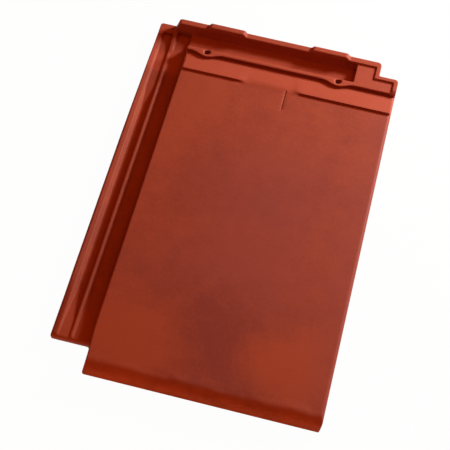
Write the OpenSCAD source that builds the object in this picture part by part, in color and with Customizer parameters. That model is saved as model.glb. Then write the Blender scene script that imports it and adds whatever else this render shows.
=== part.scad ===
// Flat interlocking clay tile, pressed and fired in one piece.
// Lengths in millimetres. The tile lies on its back: +X across, +Y to the head, +Z out of the face.

/* [Face] */
// Width of the flat face that shows
face_w = 267; // [220:1:320]
// Length from the front edge to the head
tile_l = 488.5; // [420:0.5:560]
// Height of the face above the floor, which is the depth of the front edge
face_h = 23; // [21:0.5:28]
// Thickness of the plate behind the face
plate_t = 11; // [9:0.5:12]
// Rounding along the left side of the face
edge_r = 1; // [1:0.5:4]
// Rounding along the right side of the face
side_r = 4; // [2:0.5:6]
// Width of the slope that leads over the front edge
nose_run = 9.5; // [8:0.5:14]
// Drop of the slope that leads over the front edge
nose_drop = 6; // [3:0.5:9]
// Rounding where the face turns into the front slope
nose_r = 14; // [4:1:16]
// Rounding where the front slope turns down
brow_r = 7; // [2:0.5:8]
// Rounding of the outline's corners
corner_r = 3; // [1:0.5:5]
// Rounding of the outline's corners at the head's right corner
head_corner_r = 5; // [2:0.5:6]
// Depth of the lip under the front edge
lip_d = 16; // [10:1:24]
// How far the foot of the front's left side stands out from its top
front_draft = 1.5; // [0.5:0.5:2]
// Thickness of the wall under the face's left side
side_wall = 9; // [6:0.5:14]

/* [Side lock] */
// Width of the side flange
flange_w = 47; // [45:0.5:56]
// Distance from the front edge to the flange's front end
flange_start = 31; // [25:0.5:50]
// How far the flange's outer edge draws in at the head
head_taper = 2.5; // [0.5:0.5:3.5]
// Length over which the flange's outer edge draws in
head_taper_l = 180; // [60:5:250]
// Height of the flange's underside above the floor
flange_lift = 1; // [0.5:0.5:3]
// Height of the underside above the floor at the flange's front end
toe_lift = 3.5; // [2:0.5:6]
// Length over which the underside rises to the front end
toe_run = 14; // [6:1:30]
// Rounding over the flange's front end
toe_r = 5; // [2:0.5:7]
// Height of the outer rib's crest
outer_rib_h = 13; // [11:0.5:15]
// Rounding of the outer rib's outer shoulder
outer_r = 4; // [2:0.5:8]
// Width of the outer rib, from the outer edge to its inward slope
outer_rib_w = 7.5; // [6:0.5:10]
// Width of the outer rib's inward slope
outer_slope = 4.5; // [3:0.5:7]
// Height of the inner rib's crest
inner_rib_h = 11.5; // [9:0.5:13]
// Width of the inner rib's crest
inner_rib_w = 2.5; // [1:0.5:4]
// Width of each slope of the inner rib
inner_slope = 3; // [2:0.5:5]
// Height of the valley's floor between the ribs
valley_h = 6; // [4:0.5:8]
// Width of the valley's floor
valley_w = 7.5; // [3:0.5:10]
// Height of the drain's floor beside the face
drain_h = 6; // [4:0.5:8]
// Height of the floors at the flange's front end
runout_h = 12; // [8:0.5:12.5]
// Height of the inner rib's crest at the flange's front end
runout_rib_h = 13.3; // [12:0.1:14]
// Length over which the floors rise to the front end
runout_l = 90; // [40:5:200]
// Height of the drain's floor at the head
drain_head_h = 11; // [9:0.5:14]
// Length over which the drain's floor rises to the head
drain_head_l = 60; // [20:1:80]
// Height of the valley's floor at the head
valley_head_h = 9; // [6.5:0.5:10.5]
// Distance from the head to the start of the valley's rise
valley_head_y = 140; // [110:5:200]
// Length over which the valley's floor rises
valley_head_l = 45; // [20:5:80]
// Height of the inner rib's crest at the head
head_rib_h = 15.5; // [13:0.5:18]
// Width of the inner rib's crest at the head
head_rib_w = 4.5; // [2:0.5:7]
// Length over which the inner rib rises to the head
head_rib_l = 28; // [15:1:28]
// How far the foot of the face's side stands out from its top
side_draft = 3.5; // [1:0.5:5]

/* [Hook ribs] */
// Open joint between two faces laid side by side
joint_gap = 2; // [1:0.5:4]
// Clearance between a hook rib and the lock it drops into
hook_clear = 1.5; // [1:0.5:3]
// Width of the hook rib over the drain
drain_hook_w = 5; // [3:0.5:6]
// Width of the hook rib over the valley
valley_hook_w = 2; // [1:0.5:3]
// How far each side of a hook rib spreads at its root
hook_spread = 2.5; // [1:0.5:3]

/* [Head lock] */
// Height of the nailing strip above the face
strip_h = 4.5; // [3:0.5:6]
// Distance from the head to the strip's front edge
strip_y = 42.5; // [41:0.5:50]
// Height of the head rim above the face
rim_h = 6.7; // [5:0.1:9]
// Thickness of the head rim at its top
rim_t = 7.5; // [5:0.5:9]
// Rounding at the left end of the head rim
rim_end_r = 4; // [2:0.5:6]
// How far the rim's left end leans in at its top
rim_lean = 5.5; // [1:0.5:6]
// How far the foot of the rim's front stands out from its top
rim_draft = 3.5; // [1:0.5:4]
// Depth of the trough's floor below the face
trough_drop = 7; // [5:0.5:9]
// Width of the trough's level floor
trough_floor = 20.5; // [15:0.5:24]
// Width of the trough's slope up to the strip
trough_slope = 6.5; // [3:0.5:7.5]
// Rounding at the foot of the head rim
trough_r = 3; // [1:0.5:3.5]
// Thickness of clay under the trough
bed_t = 8; // [6:0.5:10]
// Distance from the tile's right edge to the trough's end
trough_end = 54.5; // [45:0.5:65]
// Width of the cut at the head's right corner
notch_w = 24.5; // [15:0.5:35]
// Depth of the cut at the head's right corner
notch_d = 20.5; // [12:0.5:26]
// Width of the kerb round the right corner
kerb_w = 5.5; // [3:0.5:7]
// Length of the slope where the kerb runs out on the strip
kerb_run = 4; // [2:0.5:8]
// Height of the stop across the flange's head
stop_h = 13; // [11:0.5:16]
// Depth of the stop across the flange's head
stop_d = 13.5; // [8:0.5:18]
// How far the foot of the stop's front stands out from its top
stop_draft = 2; // [1:0.5:4]

/* [Lugs and nibs] */
// Distance between the lugs' centres
lug_pitch = 133; // [110:1:145]
// Width of a lug at its top
lug_w = 43; // [30:1:50]
// Width of the slope at each end of a lug
lug_slope = 3.5; // [1:0.5:6]
// Height of a lug above the head rim
lug_h = 4.5; // [2:0.5:6]
// Depth of a hanging nib
nib_d = 14; // [10:0.5:18]
// How far the root of a nib's back stands out from its foot
nib_draft = 3; // [1:0.5:5]

/* [Nail holes] */
// Diameter of a nail hole
hole_d = 7; // [5:0.5:7.5]
// Diameter of a nail hole's countersunk mouth
mouth_d = 10; // [8:0.5:10.5]
// Distance between the nail holes
hole_pitch = 168; // [150:1:172]
// Distance from the strip's front edge back to the nail holes
hole_set = 2; // [0:0.5:2.5]
// How far the strip swells out in front of a nail hole
swell = 5.5; // [5:0.5:8]
// Width of a swelling
swell_w = 41; // [30:1:46]

/* [Bearing pads] */
// Distance from the strip's front edge to the pads' front edge
pad_y = 28.5; // [27:0.5:40]
// Height of a pad's front edge
pad_h = 2.7; // [1:0.1:4]
// Length of a pad's slope
pad_l = 28; // [10:1:28]
// Width of the left pad
left_pad_w = 83; // [60:1:100]
// Width of the right pad
right_pad_w = 123; // [80:1:130]
// Length of the slope at a pad's inner end
pad_ease = 5; // [3:0.5:15]
// Distance from a pad's end to the side of the face
pad_inset = 1.5; // [1:0.5:4]
// Height of the bare field between the pads
field_h = 1.4; // [0.5:0.1:2]
// Length of the slope in front of the bare field
field_run = 12; // [6:1:20]

/* [Hidden] */
tile_w = flange_w + face_w;
mid_x = tile_w / 2;
side_foot = flange_w - side_draft;
under_z = face_h - plate_t;
strip_z = face_h + strip_h;
rim_z = face_h + rim_h;
trough_z = face_h - trough_drop;
bed_z = trough_z - bed_t;
strip_front = tile_l - strip_y;
rim_foot = tile_l - rim_t - rim_draft;
valley_x = outer_rib_w + outer_slope + valley_w / 2;
crest_x = outer_rib_w + outer_slope + valley_w + inner_slope;
drain_x = crest_x + inner_rib_w + inner_slope;
pitch = face_w + joint_gap;
cover_x = pitch - hook_clear;
cover_z = max(outer_rib_h, runout_rib_h) + hook_clear;
seat_z = head_rib_h + hook_clear;
small_r = 1.5;
arc_steps = 8;
fillet = 3;
over = 1;
top = 100;

// Points of an arc, from one angle to another
function arc(cx, cy, r, a0, a1) =
    [for (i = [0:arc_steps])
        let (a = a0 + (a1 - a0) * i / arc_steps)
        [cx + r * cos(a), cy + r * sin(a)]];

// Points of a smooth S from p to q, level at both ends
function ease(p, q) =
    [for (i = [0:arc_steps]) let (t = i / arc_steps) [
        p[0] + (q[0] - p[0]) * t,
        p[1] + (q[1] - p[1]) * (1 - cos(180 * t)) / 2]];

// Direction from a to b in the plane
function way(a, b) = [b[0] - a[0], b[1] - a[1]] / norm([b[0] - a[0], b[1] - a[1]]);

// Points of one rounded corner c = [x, y, radius] between its neighbours p and q
function round_corner(p, c, q) =
    let (
        u = way(c, p),
        v = way(c, q),
        half = acos(u * v) / 2,
        centre = [c[0], c[1]] + (u + v) / norm(u + v) * c[2] / sin(half),
        from = [c[0], c[1]] + u * c[2] / tan(half) - centre,
        to = [c[0], c[1]] + v * c[2] / tan(half) - centre,
        start = atan2(from[1], from[0]),
        turn = atan2(from[0] * to[1] - from[1] * to[0], from * to))
    arc(centre[0], centre[1], c[2], start, start + turn);

// Points of an outline with all its corners rounded
function rounded(corners) =
    let (n = len(corners))
    [for (i = [0:n - 1]) each round_corner(corners[(i + n - 1) % n], corners[i], corners[(i + 1) % n])];

// A section in X and Z, drawn out along Y
module along_y(y0, y1) {
    translate([0, y1, 0]) rotate([90, 0, 0]) linear_extrude(y1 - y0) children();
}

// A section in Y and Z, drawn out along X
module along_x(x0, x1) {
    translate([x0, 0, 0]) rotate([90, 0, 90]) linear_extrude(x1 - x0) children();
}

// The tile seen from above
module outline() {
    polygon(rounded([
        [0, flange_start, corner_r],
        [flange_w - front_draft, flange_start, small_r],
        [flange_w - front_draft, 0, corner_r],
        [tile_w, 0, corner_r],
        [tile_w, tile_l - notch_d, head_corner_r],
        [tile_w - notch_w, tile_l - notch_d, small_r],
        [tile_w - notch_w, tile_l, head_corner_r],
        [head_taper, tile_l, corner_r],
        [0, tile_l - head_taper_l, corner_r]]));
}

// Section of the side lock: outer rib, valley, inner rib and drain
module lock_section() {
    polygon(concat(
        arc(outer_r, outer_rib_h - outer_r, outer_r, 180, 90),
        ease([max(outer_rib_w, outer_r), outer_rib_h], [outer_rib_w + outer_slope, valley_h]),
        ease([crest_x - inner_slope, valley_h], [crest_x, inner_rib_h]),
        ease([crest_x + inner_rib_w, inner_rib_h], [drain_x, drain_h]),
        arc(side_foot - fillet, drain_h + fillet, fillet, 270, 360),
        [[flange_w + side_wall / 2, drain_h + fillet], [flange_w + side_wall / 2, flange_lift]],
        [[small_r, flange_lift], [0, flange_lift + small_r]]));
}

// Section along the side lock that rounds its front end over and lifts the toe
module toe_section() {
    polygon(concat(
        [[tile_l, flange_lift], [flange_start + toe_run, flange_lift], [flange_start, toe_lift]],
        arc(flange_start + toe_r, outer_rib_h - toe_r, toe_r, 180, 90),
        [[flange_start + toe_r, top], [tile_l, top]]));
}

// Section along the rise of the lock's floors to the front end
module runout_section() {
    polygon(concat(
        [[flange_start, 0]],
        ease([flange_start, runout_h], [flange_start + runout_l, valley_h - over]),
        [[flange_start + runout_l, 0]]));
}

// A slanting length of the inner rib, drawn back and on from a point of its crest
module slanting_rib(y, z, slant, back, length, width, depth) {
    translate([0, y, z]) rotate([slant, 0, 0]) along_y(-back, length)
        polygon(concat(
            ease([crest_x - inner_slope, -depth], [crest_x, 0]),
            ease([crest_x + width, 0], [crest_x + width + inner_slope, -depth])));
}

// The inner rib where it climbs to the front end
module front_rib() {
    slant = atan((runout_rib_h - inner_rib_h) / runout_l);
    slanting_rib(
        flange_start, runout_rib_h, -slant, over, runout_l + runout_rib_h,
        inner_rib_w, inner_rib_h - valley_h);
}

// The inner rib where it climbs to the head rim
module head_rib() {
    slant = atan((head_rib_h - inner_rib_h) / head_rib_l);
    slanting_rib(
        tile_l - stop_d - head_rib_l, inner_rib_h, slant, head_rib_l / 3,
        head_rib_l + stop_d - rim_t, head_rib_w, head_rib_h - valley_h);
}

// Section along a floor that rises from z0 at y0 to z1 at y1, then runs level to the head
module head_rise_section(y0, z0, y1, z1) {
    polygon(concat([[y0, 0]], ease([y0, z0 - over], [y1, z1]), [[tile_l, z1], [tile_l, 0]]));
}

// The side lock, whose floors rise at both ends
module side_lock() {
    intersection() {
        along_x(0, flange_w + side_wall / 2) toe_section();
        union() {
            along_y(flange_start, tile_l) lock_section();
            along_x(outer_rib_w, flange_w) runout_section();
            front_rib();
            head_rib();
            along_x(crest_x + inner_rib_w, flange_w)
                head_rise_section(strip_front - drain_head_l, drain_h, strip_front, drain_head_h);
            along_x(outer_rib_w, crest_x)
                head_rise_section(
                    tile_l - valley_head_y, valley_h,
                    tile_l - valley_head_y + valley_head_l, valley_head_h);
        }
    }
}

// Both upper edges of the face, from the foot of its left side
function face_top() = concat(
    [[side_foot, flange_lift]],
    arc(flange_w + edge_r, face_h - edge_r, edge_r, 170, 90),
    arc(tile_w - side_r, face_h - side_r, side_r, 90, 0));

// Section across the plate, with its left wall and the thinner cover over the next tile's lock
module plate_section() {
    polygon(concat(
        face_top(),
        [[tile_w - small_r, cover_z], [cover_x, cover_z], [cover_x - small_r, under_z]],
        [[flange_w + side_wall + side_draft, under_z], [flange_w + side_wall, flange_lift]]));
}

// A hook rib under the right edge, which drops into the level part of the next tile's lock
module hook_rib(x, w, z) {
    along_y(flange_start + runout_l, tile_l - valley_head_y)
        polygon([
            [x - w / 2, z], [x + w / 2, z],
            [x + w / 2 + hook_spread, cover_z + over], [x - w / 2 - hook_spread, cover_z + over]]);
}

// Section across the front lip, solid down to the floor
module lip_section() {
    polygon(concat(face_top(), [[tile_w - small_r, 0], [side_foot, 0]]));
}

// Section along the tile that rounds the front edge over
module nose_section() {
    foot = [0, 0, small_r];
    brow = [0, face_h - nose_drop, brow_r];
    crown = [nose_run, face_h, nose_r];
    turn = round_corner(brow, crown, [tile_l, face_h]);
    polygon(concat(
        round_corner([tile_l, 0], foot, brow), round_corner(foot, brow, crown), turn,
        [[turn[arc_steps][0], top], [tile_l, top], [tile_l, 0]]));
}

// The flat plate with the lip under its front edge and the hook ribs
module plate() {
    intersection() {
        union() {
            along_y(0, tile_l) plate_section();
            along_y(0, lip_d) lip_section();
        }
        along_x(0, tile_w) nose_section();
    }
    hook_rib(pitch + (drain_x + side_foot) / 2 - joint_gap, drain_hook_w, drain_h + hook_clear);
    hook_rib(pitch + valley_x, valley_hook_w, valley_h + hook_clear);
}

// How far the strip stands out at x because of the nail holes
function swelling(x) =
    let (s = min([for (side = [-1, 1]) abs(x - mid_x - side * hole_pitch / 2)]))
    s < swell_w / 2 ? swell * (1 + cos(360 * s / swell_w)) / 2 : 0;

// The raised nailing strip and the thick bed under the trough
module head_block() {
    edge = [for (i = [0:2 * arc_steps]) i / (2 * arc_steps) - 0.5];
    translate([0, 0, under_z]) linear_extrude(strip_z - under_z)
        polygon(concat(
            [[flange_w, strip_front]],
            [for (side = [-1, 1])
                for (t = edge)
                    let (x = mid_x + side * hole_pitch / 2 + t * swell_w)
                    [x, strip_front - swelling(x)]],
            [[tile_w, strip_front], [tile_w, tile_l], [flange_w, tile_l]]));
    along_x(side_foot, cover_x)
        polygon([
            [strip_front - swell - nib_draft, under_z + over], [strip_front - swell, bed_z],
            [tile_l, bed_z], [tile_l, under_z + over]]);
}

// The hollow between the strip and the head rim
module trough() {
    start = rim_foot - trough_floor;
    along_x(0, tile_w - trough_end)
        polygon(concat(
            [[start - trough_slope, top]],
            ease([start - trough_slope, strip_z], [start, trough_z]),
            arc(rim_foot - trough_r, trough_z + trough_r, trough_r, 270, 350),
            [[tile_l - rim_t, rim_z], [tile_l - rim_t, top]]));
}

// Corners of one lug's outline above the rim
function lug(x) = [
    [x - lug_w / 2 - lug_slope, rim_z, fillet],
    [x - lug_w / 2, rim_z + lug_h, fillet],
    [x + lug_w / 2, rim_z + lug_h, fillet],
    [x + lug_w / 2 + lug_slope, rim_z, fillet]];

// The wall across the head, with two lugs
module head_rim() {
    intersection() {
        along_x(crest_x, tile_w - notch_w)
            polygon([
                [rim_foot, flange_lift], [rim_foot, trough_z + trough_r], [tile_l - rim_t, rim_z],
                [tile_l - rim_t, top], [tile_l, top], [tile_l, flange_lift]]);
        along_y(rim_foot - over, tile_l + over)
            polygon(rounded(concat(
                [[tile_w, 0, small_r], [crest_x, 0, small_r], [crest_x, stop_h, small_r]],
                [[crest_x + rim_lean, rim_z, rim_end_r]],
                lug(mid_x - lug_pitch / 2), lug(mid_x + lug_pitch / 2),
                [[tile_w, rim_z, small_r]])));
    }
}

// The low stop that closes the flange at the head
module flange_stop() {
    along_x(0, crest_x + inner_rib_w)
        polygon([
            [tile_l - stop_d - stop_draft, flange_lift], [tile_l - stop_d, stop_h], [tile_l, stop_h],
            [tile_l, flange_lift]]);
}

// The low kerb round the head's right corner
module corner_kerb() {
    kerb_base = strip_z - over;
    kerb_h = rim_z - kerb_base;
    translate([tile_w - notch_w - kerb_w, tile_l - notch_d - kerb_w, kerb_base])
        cube([kerb_w, notch_d + kerb_w, kerb_h]);
    translate([tile_w - notch_w - kerb_w, tile_l - notch_d - kerb_w, kerb_base])
        cube([notch_w + kerb_w, kerb_w, kerb_h]);
    along_x(tile_w - kerb_w, tile_w)
        polygon([
            [strip_front, kerb_base], [strip_front, strip_z], [strip_front + kerb_run, rim_z],
            [tile_l - notch_d, rim_z], [tile_l - notch_d, kerb_base]]);
}

// One hanging nib under the plate
module nib(x) {
    back = strip_front - swell;
    along_x(x - lug_w / 2, x + lug_w / 2)
        polygon([
            [back - nib_d, under_z + over], [back - nib_d, 0],
            [back - nib_draft, 0], [back, under_z + over]]);
}

// One bearing pad, a wedge that rises towards the front, from its outer end to its inner end
module pad(outer, inner) {
    y = strip_front - pad_y;
    inward = sign(inner - outer);
    intersection() {
        along_x(min(outer, inner), max(outer, inner))
            polygon([
                [y, face_h - over], [y, face_h + pad_h],
                [y + pad_l, face_h], [y + pad_l, face_h - over]]);
        along_y(y - over, y + pad_l + over)
            polygon([
                [outer - inward, face_h - over], [outer - inward, face_h + pad_h + over],
                [inner - inward * pad_ease, face_h + pad_h + over],
                [inner, face_h], [inner, face_h - over]]);
    }
}

// The bare field between the pads, which swells out of the face
module bare_field() {
    y = strip_front - pad_y;
    x0 = flange_w + pad_inset + left_pad_w - pad_ease;
    x1 = tile_w - pad_inset - right_pad_w + pad_ease;
    crest_z = face_h + field_h;
    intersection() {
        along_x(x0, x1)
            polygon(concat(
                [[y - field_run / 2, face_h - over]],
                ease([y - field_run / 2, face_h], [y + field_run / 2, crest_z]),
                [[y + pad_l, face_h], [y + pad_l, face_h - over]]));
        along_y(y - field_run, strip_front)
            polygon([
                [x0, face_h - over], [x0, face_h], [x0 + 2 * pad_ease, crest_z + over],
                [x1 - 2 * pad_ease, crest_z + over], [x1, face_h], [x1, face_h - over]]);
    }
}

// Room under the right corner for the head of the next tile's side lock
module corner_seat() {
    translate([cover_x, strip_front - over, -over])
        cube([tile_w - cover_x + over, strip_y + 2 * over, over + seat_z]);
}

// One nail hole with its countersunk mouth
module nail_hole(x) {
    sink = (mouth_d - hole_d) / 2;
    translate([x, strip_front + hole_set, 0]) {
        translate([0, 0, -over]) cylinder(h = top, d = hole_d, $fn = 48);
        translate([0, 0, strip_z - sink]) cylinder(h = sink, d1 = hole_d, d2 = mouth_d, $fn = 48);
        translate([0, 0, strip_z]) cylinder(h = top, d = mouth_d, $fn = 48);
    }
}

// The tile in one piece, with the front edge at y = 0 and the flange's outer edge at x = 0
module pressed_tile() {
    difference() {
        union() {
            difference() {
                union() {
                    side_lock();
                    plate();
                    head_block();
                }
                trough();
            }
            head_rim();
            flange_stop();
            corner_kerb();
            pad(flange_w + pad_inset, flange_w + pad_inset + left_pad_w);
            pad(tile_w - pad_inset, tile_w - pad_inset - right_pad_w);
            bare_field();
            for (side = [-1, 1]) nib(mid_x + side * lug_pitch / 2);
        }
        for (side = [-1, 1]) nail_hole(mid_x + side * hole_pitch / 2);
        corner_seat();
    }
}

module tile() {
    color("firebrick") translate([-mid_x, -tile_l / 2, 0])
        intersection() {
            linear_extrude(top) outline();
            pressed_tile();
        }
}

tile();
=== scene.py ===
"""Flat interlocking clay tile: the fired clay body, its surface and a plain studio stage."""

from math import radians

import bmesh
import bpy
from bpy.props import FloatProperty, FloatVectorProperty, IntProperty, PointerProperty
from mathutils import Euler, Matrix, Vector


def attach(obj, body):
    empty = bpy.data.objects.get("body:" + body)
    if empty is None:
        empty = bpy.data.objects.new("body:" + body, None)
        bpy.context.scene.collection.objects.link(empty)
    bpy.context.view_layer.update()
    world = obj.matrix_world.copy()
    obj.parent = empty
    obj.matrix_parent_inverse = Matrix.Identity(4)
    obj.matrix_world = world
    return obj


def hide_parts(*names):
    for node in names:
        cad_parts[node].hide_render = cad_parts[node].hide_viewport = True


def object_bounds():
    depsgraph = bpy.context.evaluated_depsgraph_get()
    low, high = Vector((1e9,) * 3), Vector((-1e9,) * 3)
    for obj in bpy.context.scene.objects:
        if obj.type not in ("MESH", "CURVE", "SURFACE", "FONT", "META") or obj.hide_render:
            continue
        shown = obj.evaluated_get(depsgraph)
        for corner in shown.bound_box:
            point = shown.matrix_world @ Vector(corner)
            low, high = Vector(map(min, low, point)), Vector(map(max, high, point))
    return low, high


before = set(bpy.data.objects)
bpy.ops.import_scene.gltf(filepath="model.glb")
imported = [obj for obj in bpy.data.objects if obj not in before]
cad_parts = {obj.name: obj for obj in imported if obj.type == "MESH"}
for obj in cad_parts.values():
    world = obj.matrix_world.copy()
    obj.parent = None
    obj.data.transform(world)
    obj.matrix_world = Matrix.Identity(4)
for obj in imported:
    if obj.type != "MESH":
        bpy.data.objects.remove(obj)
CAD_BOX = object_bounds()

bl_info = {
    "name": "Clay Tile",
    "version": (1, 0, 0),
    "blender": (4, 5, 0),
    "location": "View3D > Sidebar > Clay Tile",
    "description": "Builds the fired surface of a flat interlocking clay tile",
    "category": "Object",
}

NODE = "tile"
BODY = "root"

# Sides of the tile, in metres, as are all places below
LEFT, FRONT, _ = CAD_BOX[0]
RIGHT, HEAD, TOP = CAD_BOX[1]
# Points of the solid that are closer than this are one point
SAME_POINT = 1e-6

# Heights at which a place starts to count as part of a form, and at which it counts in full
FACE_RISE = (0.018, 0.020)
RIB_RISE = (0.006, 0.011)
NOSE_RISE = (0.004, 0.012)
CORNER_RISE = (0.0, 0.014)

# Thin mark on the middle of the face, with the distances over which its walls and its painted shade
# fade
MARK_X = 0.0245
MARK_Y = 0.1592
MARK_LENGTH = 0.0288
MARK_WALL = (0.0002, 0.0013)
MARK_END = (0.0, 0.001)
# Painted shade in the mark lies a little right of its middle, over the wall that faces away from the
# lamp
MARK_SHADE_X = MARK_X + 0.0003
MARK_SHADE_WALL = (0.0003, 0.0009)
MARK_SHADE_END = (-0.001, 0.001)

# Outer rib of the side lock: distances from the left side, then places along the tile
RIB_STEP_START = (0.001, 0.008)
RIB_STEP_END = (0.008, 0.012)
RIB_DOME = (0.0, 0.009)
RIB_RUN_OUT = (FRONT + 0.07925, FRONT + 0.12425)
RIB_HEAD = (HEAD - 0.03425, HEAD - 0.01925)

# Bands along and across the tile over which its form, its finish or its painted light and sheen change
NOSE = (FRONT + 0.00425, FRONT + 0.01425)
NOSE_ROLL = (FRONT + 0.01025, FRONT + 0.02225)
HEAD_FORMS = (HEAD - 0.08925, HEAD - 0.07925)
PADS = (HEAD - 0.07825, HEAD - 0.06625)
STRIP = (HEAD - 0.04625, HEAD - 0.04125)
RIGHT_SIDE = (RIGHT - 0.047, RIGHT - 0.002)

# Spots on the tile, each as its centre, its reach across and along, and its strength
PAD_ENDS = (
    ((-0.0265, 0.182), (0.013, 0.013), 1.0),
    ((0.0335, 0.182), (0.013, 0.013), 1.0))
FRONT_CORNER = (
    ((-0.109, -0.242), (0.03, 0.05), 1.0),)
SCORCHED = (
    ((0.052, -0.155), (0.075, 0.115), 1.0),
    ((-0.068, -0.085), (0.05, 0.03), 0.5))
FLAMED = (
    ((-0.055, -0.18), (0.10, 0.075), 1.0),
    ((0.135, -0.165), (0.07, 0.06), 1.0))
WARMED = (
    ((-0.07, 0.16), (0.10, 0.09), 1.0),
    ((-0.085, -0.03), (0.07, 0.17), 1.0))
# Spots of painted sheen, where the lamp's sheen is painted as a paler, pinker red
SHEEN_SPOTS = (
    ((0.07, 0.02), (0.13, 0.17), 1.0),
    ((0.045, -0.07), (0.2, 0.05), 0.4))
# Shares of a spot's reach at which it starts to fade and at which it is gone
SPOT_FADE = (0.05, 1.1)
# How far the outlines of the kiln's spots wander, and how often in a metre
WANDER = 0.05
WANDER_SCALE = 14.0

# Textures of the clay, each as its features in a metre, its detail and its roughness
BLOTCH = (8.0, 3.0, 0.55)
MOTTLE = (60.0, 4.0, 0.6)
SPECKLE = (260.0, 3.0, 0.6)
GRAIN = (900.0, 3.0, 0.65)
BLOTCH_EDGE = (0.36, 0.64)
RIPPLE = (45.0, 1.0)
WAVE_DETAIL = 1.0
FLECK_SCALE = 190.0
FLECK_SIZE = (0.05, 0.14)
FLECK_CHANCE = (0.93, 0.95)

# Shade of the clay, from deep red at 0 to warm red at 1: its level, and how far each thing moves it
SHADE = {
    "level": 0.38, "blotch": 0.35, "mottle": 1.0, "speckle": 1.1, "grain": 0.8,
    "flamed": 0.65, "warmed": 0.35, "scorched": 0.62}
# Share of each tint over that shade; the tints of the head and front edge, of the right part of the
# face and of the inner corners are painted light, painted sheen and painted shade
TINT = {"ember": 0.45, "painted_sheen": 0.45, "painted_light": 0.6, "nose": 0.5, "fleck": 0.55, "painted_shade": 0.8}
# How much of the painted light on the head the strip lacks, and how much painted sheen the right side
# takes
STRIP_LOSS = 0.4
RIGHT_SIDE_SHEEN = 0.6
# How far the mottle moves the upper edge of the painted light on the nose, and changes its share
NOSE_FRAY = 0.016
NOSE_MOTTLE = 1.6
# Width of the inner corners that take painted shade, and the open share of their sky
CREVICE_REACH = 0.005
CREVICE_OPEN = (0.45, 0.96)
CREVICE_SAMPLES = 8
# How far each texture moves the roughness, and its share in the fine relief
ROUGHEN = {"mottle": 0.2, "grain": 0.1, "nose": 0.45}
RELIEF = {"grain": 0.6, "mottle": 1.2, "fleck": 0.5}
RELIEF_STRENGTH = 0.25
RELIEF_DEPTH = 0.0003
SPECULAR = 0.12

# Places of a Mix node's colour sockets, whose names repeat
MIX_COLOURS = (6, 7)
MIX_RESULT = 2

# Stage: the floor, the two lamps, the light from above and the camera
FLOOR_SIZE = 12.0
FLOOR_Z = -0.0002
FLOOR_WHITE = 0.98
LAMP_SIZE = (0.28, 0.28)
LAMP_PLACE = Vector((0.73, 0.78, 0.49))
LAMP_TURN = (-LAMP_PLACE).to_track_quat("-Z", "Y").to_euler()
FILL_SIZE = (1.0, 0.024)
FILL_PLACE = Vector((0.0, -0.8, 0.013))
FILL_TURN = Euler((radians(90.0), 0.0, 0.0))
SKY_RISE = (0.3, 0.95)
WHITE = (1.0, 1.0, 1.0)
SENSOR_WIDTH = 36.0
EYE_PLACE = Vector((0.1220, -0.74955, 1.2746))
EYE_TURN = Euler((radians(30.11), radians(-2.384), radians(13.935)))


class ClayBodyProps(bpy.types.PropertyGroup):
    """Sizes of the pressed and fired body"""

    grain: FloatProperty(
        name="Press grain", description="Cell size that the edges are softened with",
        default=0.0008, min=0.0005, max=0.002, unit="LENGTH")
    soft_rounds: IntProperty(
        name="Softening", description="How often the edges are eased", default=4, min=0, max=12)
    warp: FloatProperty(
        name="Kiln warp", description="Height of the slow waves that firing leaves",
        default=0.00025, min=0.0, max=0.001, unit="LENGTH")
    warp_pitch: FloatProperty(
        name="Warp pitch", description="Distance between the slow waves",
        default=0.12, min=0.03, max=0.4, unit="LENGTH")
    mark_depth: FloatProperty(
        name="Mark depth", description="Depth of the thin centre mark",
        default=0.0006, min=0.0, max=0.001, unit="LENGTH")
    rib_step: FloatProperty(
        name="Rib step", description="Fall of the outer rib's top from its outer edge",
        default=0.0012, min=0.0, max=0.002, unit="LENGTH")
    pad_ease: IntProperty(
        name="Pad ease", description="How often the inner ends of the pads are eased",
        default=60, min=0, max=200)
    corner_lean: FloatProperty(
        name="Corner lean", description="How far the front left corner leans in at the face",
        default=0.0021, min=0.0, max=0.003, unit="LENGTH")
    ripple: FloatProperty(
        name="Ripple", description="Height of the small waves along the front edge",
        default=0.0018, min=0.0, max=0.002, unit="LENGTH")
    triangles: IntProperty(
        name="Triangles", description="Triangles kept in the finished body",
        default=190000, min=20000, max=199000)


class ClayFinishProps(bpy.types.PropertyGroup):
    """Colours of the fired clay, and of the painted light, sheen and shade laid over it"""

    deep: FloatVectorProperty(
        name="Deep red", description="Clay that was fired hardest", subtype="COLOR",
        default=(0.255, 0.051, 0.033), min=0.0, max=1.0)
    warm: FloatVectorProperty(
        name="Warm red", description="Clay that was fired least", subtype="COLOR",
        default=(0.375, 0.074, 0.0345), min=0.0, max=1.0)
    ember: FloatVectorProperty(
        name="Ember red", description="Clay that the flame reached", subtype="COLOR",
        default=(0.42, 0.076, 0.026), min=0.0, max=1.0)
    # Painted sheen: a paler, pinker red that paints the lamp's sheen on the face, most on its right
    # part
    painted_sheen: FloatVectorProperty(
        name="Painted sheen red", description="Clay that took the kiln's smoke", subtype="COLOR",
        default=(0.30, 0.07, 0.058), min=0.0, max=1.0)
    # Painted light: a paler red that paints light on the head from the pads back and on the upper front
    # edge
    painted_light: FloatVectorProperty(
        name="Painted light red", description="Clay of the head and the front edge", subtype="COLOR",
        default=(0.49, 0.098, 0.05), min=0.0, max=1.0)
    fleck: FloatVectorProperty(
        name="Fleck", description="Pale grog that shows in the surface", subtype="COLOR",
        default=(0.56, 0.12, 0.06), min=0.0, max=1.0)
    # Painted shade: a dark red laid into the sharp inner corners of the head and into the thin mark
    painted_shade: FloatVectorProperty(
        name="Painted shade", description="Dirt that stays in the sharp inner corners", subtype="COLOR",
        default=(0.13, 0.015, 0.005), min=0.0, max=1.0)
    roughness: FloatProperty(
        name="Roughness", description="Roughness of the satin skin", default=0.54, min=0.1, max=1.0)


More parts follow.
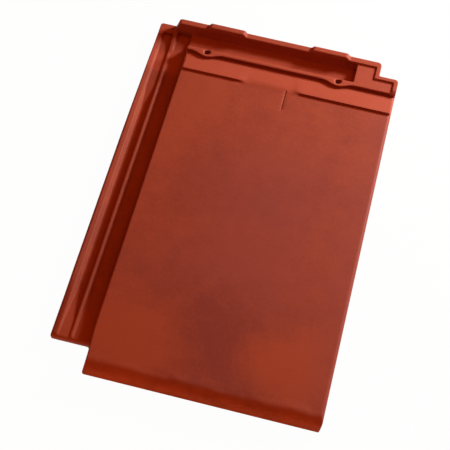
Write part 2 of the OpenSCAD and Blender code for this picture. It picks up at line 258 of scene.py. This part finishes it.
class StageProps(bpy.types.PropertyGroup):
    """Floor, lights and camera"""

    floor: FloatVectorProperty(
        name="Floor", description="Colour of the floor", subtype="COLOR",
        default=(0.9, 0.9, 0.9), min=0.0, max=1.0)
    lamp_power: FloatProperty(
        name="Lamp", description="Power of the soft lamp", default=18.2, min=0.0, unit="POWER")
    fill_power: FloatProperty(
        name="Fill", description="Power of the low strip in front", default=1.35, min=0.0, unit="POWER")
    fill_hue: FloatVectorProperty(
        name="Fill hue", description="Colour of the low strip in front", subtype="COLOR",
        default=(1.0, 0.48, 0.19), min=0.0, max=1.0)
    sky: FloatProperty(
        name="Sky", description="Strength of the light from above", default=0.63, min=0.0, max=1.0)
    sky_hue: FloatVectorProperty(
        name="Sky hue", description="Colour of the light from above", subtype="COLOR",
        default=(1.0, 0.24, 0.04), min=0.0, max=1.0)
    lens: FloatProperty(
        name="Lens", description="Focal length in millimetres", default=100.0, min=20.0)


class Socket:
    """One output of a node; arithmetic on it adds Math nodes to its tree."""

    def __init__(self, wiring, socket):
        self.wiring = wiring
        self.socket = socket

    def math(self, operation, *values):
        return self.wiring.add("ShaderNodeMath", {"operation": operation}, dict(enumerate(values)))

    def __add__(self, other):
        return self.math("ADD", self, other)

    def __radd__(self, other):
        return self.math("ADD", other, self)

    def __sub__(self, other):
        return self.math("SUBTRACT", self, other)

    def __rsub__(self, other):
        return self.math("SUBTRACT", other, self)

    def __mul__(self, other):
        return self.math("MULTIPLY", self, other)

    def __rmul__(self, other):
        return self.math("MULTIPLY", other, self)

    def __rtruediv__(self, other):
        return self.math("DIVIDE", other, self)

    def __abs__(self):
        return self.math("ABSOLUTE", self)

    def swing(self):
        """How far a value from 0 to 1 lies from its middle."""
        return self - 0.5

    def most(self, other):
        """The larger of this value and another."""
        return self.math("MAXIMUM", self, other)


class Wiring:
    """Adds nodes to one tree, with their settings first and then their sockets."""

    def __init__(self, tree):
        self.tree = tree
        tree.nodes.clear()

    def add(self, kind, settings=None, inputs=None, output=0):
        node = self.tree.nodes.new(kind)
        for name, value in (settings or {}).items():
            setattr(node, name, value)
        for key, value in (inputs or {}).items():
            if isinstance(value, Socket):
                self.tree.links.new(value.socket, node.inputs[key])
            else:
                node.inputs[key].default_value = value
        return Socket(self, node.outputs[output]) if node.outputs else node

    def axes(self, place):
        """The X, Y and Z of a place."""
        first = self.add("ShaderNodeSeparateXYZ", None, {0: place})
        return [Socket(self, output) for output in first.socket.node.outputs]

    def noise(self, place, scale, detail=2.0, roughness=0.5, output=0):
        return self.add(
            "ShaderNodeTexNoise", None,
            {"Vector": place, "Scale": scale, "Detail": detail, "Roughness": roughness}, output)

    def band(self, value, low, high):
        """0 below low and 1 above high, smooth between."""
        return self.add(
            "ShaderNodeMapRange", {"interpolation_type": "SMOOTHSTEP"},
            {"Value": value, "From Min": low, "From Max": high})

    def spot(self, place, centre, reach):
        """1 at a centre in X and Y, 0 beyond its reach, smooth between."""
        scale = Vector((1.0 / reach[0], 1.0 / reach[1], 0.0))
        shift = -Vector((*centre, 0.0)) * scale
        near = self.add(
            "ShaderNodeVectorMath", {"operation": "MULTIPLY_ADD"}, {0: place, 1: scale, 2: shift})
        far = self.add("ShaderNodeVectorMath", {"operation": "LENGTH"}, {0: near}, "Value")
        return 1 - self.band(far, *SPOT_FADE)

    def spots(self, place, listed):
        """The sum of the spots in a list."""
        return sum(self.spot(place, centre, reach) * strength for centre, reach, strength in listed)

    def tint(self, share, first, second):
        """Mixes two colours."""
        inputs = {0: share}
        for key, colour in zip(MIX_COLOURS, (first, second)):
            inputs[key] = colour if isinstance(colour, Socket) else (*colour, 1.0)
        return self.add("ShaderNodeMix", {"data_type": "RGBA"}, inputs, MIX_RESULT)


def kiln_colour(w, place, across, mottle, grain, finish):
    """The red of the clay, with the spots that scorching, flame and heat left on it, and a painted
    sheen over much of the face, most on its right part.
    """
    wander = w.add(
        "ShaderNodeVectorMath", {"operation": "MULTIPLY_ADD"},
        {0: w.noise(place, WANDER_SCALE, output="Color"), 1: (WANDER, WANDER, 0.0), 2: place})
    flamed = w.spots(wander, FLAMED)
    # Painted sheen over much of the face and along its right side
    sheen_share = w.spots(wander, SHEEN_SPOTS) + w.band(across, *RIGHT_SIDE) * RIGHT_SIDE_SHEEN
    blotch = w.band(w.noise(place, *BLOTCH), *BLOTCH_EDGE)
    speckle = w.noise(place, *SPECKLE)
    fine = (
        mottle.swing() * SHADE["mottle"] + speckle.swing() * SHADE["speckle"]
        + grain.swing() * SHADE["grain"])
    heat = (
        flamed * SHADE["flamed"] + w.spots(wander, WARMED) * SHADE["warmed"]
        - w.spots(wander, SCORCHED) * SHADE["scorched"])
    fired = blotch * SHADE["blotch"] + fine + heat + SHADE["level"]
    shade = w.add("ShaderNodeClamp", None, {"Value": fired})
    colour = w.tint(shade, finish.deep, finish.warm)
    colour = w.tint(flamed * TINT["ember"], colour, finish.ember)
    return w.tint(sheen_share * TINT["painted_sheen"], colour, finish.painted_sheen)


def grog_flecks(w, place):
    """A few small round flecks, strewn thinly."""
    cells = {"Vector": place, "Scale": FLECK_SCALE}
    distance = w.add("ShaderNodeTexVoronoi", None, cells)
    cell_colour = w.add("ShaderNodeTexVoronoi", None, cells, "Color")
    chance = w.add("ShaderNodeSeparateColor", None, {0: cell_colour})
    return (1 - w.band(distance, *FLECK_SIZE)) * w.band(chance, *FLECK_CHANCE)


def in_mark(w, axes, middle, wall, end):
    """1 in the thin mark on the face, fading over a wall beside it and over its ends."""
    across, along, above = axes
    beside = abs(across - middle)
    beyond = abs(along - MARK_Y) - MARK_LENGTH / 2
    return (1 - w.band(beside, *wall)) * (1 - w.band(beyond, *end)) * w.band(above, *FACE_RISE)


def painted_corner_shade(w, axes):
    """Painted shade in the thin mark and in the sharp inner corners of the head."""
    marked = in_mark(w, axes, MARK_SHADE_X, MARK_SHADE_WALL, MARK_SHADE_END)
    open_sky = w.add(
        "ShaderNodeAmbientOcclusion", {"only_local": True, "samples": CREVICE_SAMPLES},
        {"Distance": CREVICE_REACH}, "AO")
    crevice = (1 - w.band(open_sky, *CREVICE_OPEN)) * w.band(axes[1], *HEAD_FORMS)
    return crevice.most(marked)


def fired_clay(finish):
    """Unglazed red clay: blotched by the kiln, with pale flecks, a fine grain, painted light on the
    head and the front edge, and painted shade in the inner corners and the mark.
    """
    material = bpy.data.materials.new("fired_clay")
    material.use_nodes = True
    w = Wiring(material.node_tree)
    place = w.add("ShaderNodeTexCoord", output="Object")
    axes = w.axes(place)
    across, along, _ = axes
    mottle = w.noise(place, *MOTTLE)
    grain = w.noise(place, *GRAIN)
    fleck = grog_flecks(w, place)
    nose = 1 - w.band(along + mottle.swing() * NOSE_FRAY, *NOSE)
    # Painted light on the front edge, with an upper edge and a strength that the mottle moves
    nose_painted_light = nose * (mottle.swing() * NOSE_MOTTLE + TINT["nose"])
    # Painted light on the head from the pads back, less on the strip
    painted_light = w.band(along, *PADS) * (1 - w.band(along, *STRIP) * STRIP_LOSS)
    colour = kiln_colour(w, place, across, mottle, grain, finish)
    colour = w.tint(painted_light * TINT["painted_light"] + nose_painted_light, colour, finish.painted_light)
    colour = w.tint(fleck * TINT["fleck"], colour, finish.fleck)
    # Painted shade: darkens the inner corners of the head and the thin mark
    colour = w.tint(painted_corner_shade(w, axes) * TINT["painted_shade"], colour, finish.painted_shade)
    roughness = (
        finish.roughness + mottle.swing() * ROUGHEN["mottle"] + grain.swing() * ROUGHEN["grain"]
        + nose * ROUGHEN["nose"])
    height = grain * RELIEF["grain"] + mottle * RELIEF["mottle"] + fleck * RELIEF["fleck"]
    bump = w.add("ShaderNodeBump", None, {
        "Strength": RELIEF_STRENGTH, "Distance": RELIEF_DEPTH, "Height": height})
    surface = w.add("ShaderNodeBsdfPrincipled", None, {
        "Base Color": colour, "Roughness": roughness, "Normal": bump, "Specular IOR Level": SPECULAR})
    w.add("ShaderNodeOutputMaterial", None, {"Surface": surface})
    return material


def rib_fall(w, axes):
    """Share of the fall of the outer rib's top: a step along the rib and a dome where it runs out."""
    across, along, above = axes
    inward = across - LEFT
    behind = w.band(along, *RIB_RUN_OUT)
    before = 1 - w.band(along, *RIB_HEAD)
    step = w.band(inward, *RIB_STEP_START) * (1 - w.band(inward, *RIB_STEP_END)) * behind * before
    dome = (1 - w.band(inward, *RIB_DOME)) * (1 - behind)
    return (step + dome) * w.band(above, *RIB_RISE)


def firing_tree(material):
    """Geometry nodes for the body's fine forms: pad ends, waves, ripples, mark, rib top and corner."""
    tree = bpy.data.node_groups.new("firing", "GeometryNodeTree")
    face = tree.interface
    face.new_socket("Body", in_out="INPUT", socket_type="NodeSocketGeometry")
    sizes = {
        name: face.new_socket(name, in_out="INPUT", socket_type="NodeSocketFloat").identifier
        for name in ("Warp", "Pitch", "Mark", "Step", "Lean", "Ripple")}
    sizes["Ease"] = face.new_socket("Ease", in_out="INPUT", socket_type="NodeSocketInt").identifier
    face.new_socket("Fired", in_out="OUTPUT", socket_type="NodeSocketGeometry")
    w = Wiring(tree)
    given = {socket.name: Socket(w, socket) for socket in tree.nodes.new("NodeGroupInput").outputs}
    place = w.add("GeometryNodeInputPosition")
    axes = w.axes(place)
    _, along, above = axes
    eased = w.add(
        "GeometryNodeBlurAttribute", {"data_type": "FLOAT_VECTOR"},
        {"Value": place, "Iterations": given["Ease"], "Weight": w.spots(place, PAD_ENDS)})
    soft = w.add("GeometryNodeSetPosition", None, {"Geometry": given["Body"], "Position": eased})
    wave = w.noise(place, 1.0 / given["Pitch"], WAVE_DETAIL)
    # The slow waves only lower the tile, so that it stays inside its box
    waves = (wave - 1.0) * given["Warp"] * (above * (1.0 / TOP))
    nose = (1 - w.band(along, *NOSE_ROLL)) * w.band(above, *NOSE_RISE)
    ripples = w.noise(place, *RIPPLE).swing() * given["Ripple"] * nose
    groove = in_mark(w, axes, MARK_X, MARK_WALL, MARK_END) * given["Mark"]
    fall = rib_fall(w, axes) * given["Step"]
    lean = w.spots(place, FRONT_CORNER) * w.band(above, *CORNER_RISE) * given["Lean"]
    lift = w.add("ShaderNodeCombineXYZ", None, {"X": lean, "Z": waves + ripples - groove - fall})
    moved = w.add("GeometryNodeSetPosition", None, {"Geometry": soft, "Offset": lift})
    smooth = w.add("GeometryNodeSetShadeSmooth", None, {"Geometry": moved, "Shade Smooth": True})
    real = w.add("GeometryNodeRealizeInstances", None, {"Geometry": smooth})
    clad = w.add("GeometryNodeSetMaterial", None, {"Geometry": real, "Material": material})
    tree.links.new(clad.socket, tree.nodes.new("NodeGroupOutput").inputs["Fired"])
    return tree, sizes


def settled(ob, name):
    """The object's mesh with its modifiers worked in, as a new plain mesh."""
    ob.update_tag()
    bpy.context.view_layer.update()
    mesh = bpy.data.meshes.new_from_object(
        ob.evaluated_get(bpy.context.evaluated_depsgraph_get()))
    mesh.name = name
    ob.modifiers.clear()
    return mesh


def triangle_count(mesh):
    mesh.calc_loop_triangles()
    return len(mesh.loop_triangles)


def merged_solid():
    """A copy of the tile's solid with its loose triangles joined."""
    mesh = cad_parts[NODE].data.copy()
    raw = bmesh.new()
    raw.from_mesh(mesh)
    bmesh.ops.remove_doubles(raw, verts=raw.verts, dist=SAME_POINT)
    raw.to_mesh(mesh)
    raw.free()
    return mesh


class OBJECT_OT_clay_tile_body(bpy.types.Operator):
    """Softens the pressed edges of the tile's solid and fires it"""

    bl_idname = "object.clay_tile_body"
    bl_label = "Tile body"

    def execute(self, context):
        sizes = context.scene.clay_body
        body = bpy.data.objects.new("clay_body", merged_solid())
        context.scene.collection.objects.link(body)
        press = body.modifiers.new("press", "REMESH")
        press.mode = "VOXEL"
        press.voxel_size = sizes.grain
        ease = body.modifiers.new("ease", "SMOOTH")
        ease.iterations = sizes.soft_rounds
        fire = body.modifiers.new("fire", "NODES")
        fire.node_group, inputs = firing_tree(fired_clay(context.scene.clay_finish))
        fire[inputs["Warp"]] = sizes.warp
        fire[inputs["Pitch"]] = sizes.warp_pitch
        fire[inputs["Mark"]] = sizes.mark_depth
        fire[inputs["Step"]] = sizes.rib_step
        fire[inputs["Lean"]] = sizes.corner_lean
        fire[inputs["Ripple"]] = sizes.ripple
        fire[inputs["Ease"]] = sizes.pad_ease
        body.data = settled(body, "clay_body")
        thin = body.modifiers.new("thin", "DECIMATE")
        thin.ratio = min(1.0, sizes.triangles / triangle_count(body.data))
        body.data = settled(body, "clay_body")
        if triangle_count(body.data) == 0:
            raise RuntimeError("the tile's body came out empty")
        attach(body, BODY)
        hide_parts(NODE)
        return {"FINISHED"}


def floor_material(colour):
    """A pale floor that shows white to the camera but keeps the tile's shadow."""
    material = bpy.data.materials.new("studio_floor")
    material.use_nodes = True
    w = Wiring(material.node_tree)
    matt = w.add("ShaderNodeBsdfDiffuse", None, {"Color": (*colour, 1.0)})
    white = w.add("ShaderNodeEmission", None, {"Strength": 1.0})
    seen = w.add("ShaderNodeLightPath", output="Is Camera Ray")
    shiny = w.add("ShaderNodeLightPath", output="Is Glossy Ray")
    glass = w.add("ShaderNodeLightPath", output="Is Transmission Ray")
    share = seen.most(shiny).most(glass) * FLOOR_WHITE
    mixed = w.add("ShaderNodeMixShader", None, {0: share, 1: matt, 2: white})
    w.add("ShaderNodeOutputMaterial", None, {"Surface": mixed})
    return material


def light_from_above(look):
    """A world that is white to the camera and lights the tile most from straight above."""
    world = bpy.data.worlds.new("light_from_above")
    world.use_nodes = True
    w = Wiring(world.node_tree)
    seen = w.add("ShaderNodeLightPath", output="Is Camera Ray")
    _, _, up = w.axes(w.add("ShaderNodeTexCoord", output="Generated"))
    share = seen.most(w.band(up, *SKY_RISE) * look.sky)
    hue = w.tint(seen, look.sky_hue, WHITE)
    light = w.add("ShaderNodeBackground", None, {"Color": hue, "Strength": share})
    w.add("ShaderNodeOutputWorld", None, {"Surface": light})
    return world


def area_lamp(name, size, power, hue):
    """A rectangular lamp."""
    lamp = bpy.data.lights.new(name, "AREA")
    lamp.shape = "RECTANGLE"
    lamp.size, lamp.size_y = size
    lamp.energy = power
    lamp.color = hue
    return lamp


def long_camera(lens):
    """A camera with a lens of the given length."""
    camera = bpy.data.cameras.new("camera")
    camera.lens = lens
    camera.sensor_width = SENSOR_WIDTH
    return camera


def placed(scene, data, place, turn):
    """A lamp or camera set up in the scene."""
    holder = bpy.data.objects.new(data.name, data)
    holder.location = place
    holder.rotation_euler = turn
    scene.collection.objects.link(holder)
    return holder


class OBJECT_OT_clay_tile_stage(bpy.types.Operator):
    """Lays the pale floor and sets the two lamps, the light from above and the camera"""

    bl_idname = "object.clay_tile_stage"
    bl_label = "Stage"

    def execute(self, context):
        scene = context.scene
        look = scene.clay_stage
        bpy.ops.mesh.primitive_plane_add(size=FLOOR_SIZE, location=(0.0, 0.0, FLOOR_Z))
        floor = context.object
        floor.name = "studio_floor"
        floor.data.materials.append(floor_material(look.floor))
        lamp = area_lamp("soft_lamp", LAMP_SIZE, look.lamp_power, WHITE)
        placed(scene, lamp, LAMP_PLACE, LAMP_TURN)
        fill = area_lamp("front_fill", FILL_SIZE, look.fill_power, look.fill_hue)
        placed(scene, fill, FILL_PLACE, FILL_TURN)
        scene.world = light_from_above(look)
        scene.camera = placed(scene, long_camera(look.lens), EYE_PLACE, EYE_TURN)
        scene.view_settings.view_transform = "Standard"
        return {"FINISHED"}


class VIEW3D_PT_clay_tile(bpy.types.Panel):
    """Lists the tile's sizes, colours and steps"""

    bl_idname = "VIEW3D_PT_clay_tile"
    bl_label = "Clay Tile"
    bl_space_type = "VIEW_3D"
    bl_region_type = "UI"
    bl_category = "Clay Tile"

    def draw(self, context):
        for group in (context.scene.clay_body, context.scene.clay_finish, context.scene.clay_stage):
            for name in group.__annotations__:
                self.layout.prop(group, name)
        for step in OPERATORS:
            self.layout.operator(step.bl_idname)


OPERATORS = (OBJECT_OT_clay_tile_body, OBJECT_OT_clay_tile_stage)
GROUPS = {"clay_body": ClayBodyProps, "clay_finish": ClayFinishProps, "clay_stage": StageProps}


def register():
    for cls in (*GROUPS.values(), *OPERATORS, VIEW3D_PT_clay_tile):
        bpy.utils.register_class(cls)
    for name, group in GROUPS.items():
        setattr(bpy.types.Scene, name, PointerProperty(type=group))


def unregister():
    for name in GROUPS:
        delattr(bpy.types.Scene, name)
    for cls in (VIEW3D_PT_clay_tile, *reversed(OPERATORS), *reversed(tuple(GROUPS.values()))):
        bpy.utils.unregister_class(cls)


def main():
    register()
    bpy.ops.object.clay_tile_body()
    bpy.ops.object.clay_tile_stage()


if __name__ == "__main__":
    main()
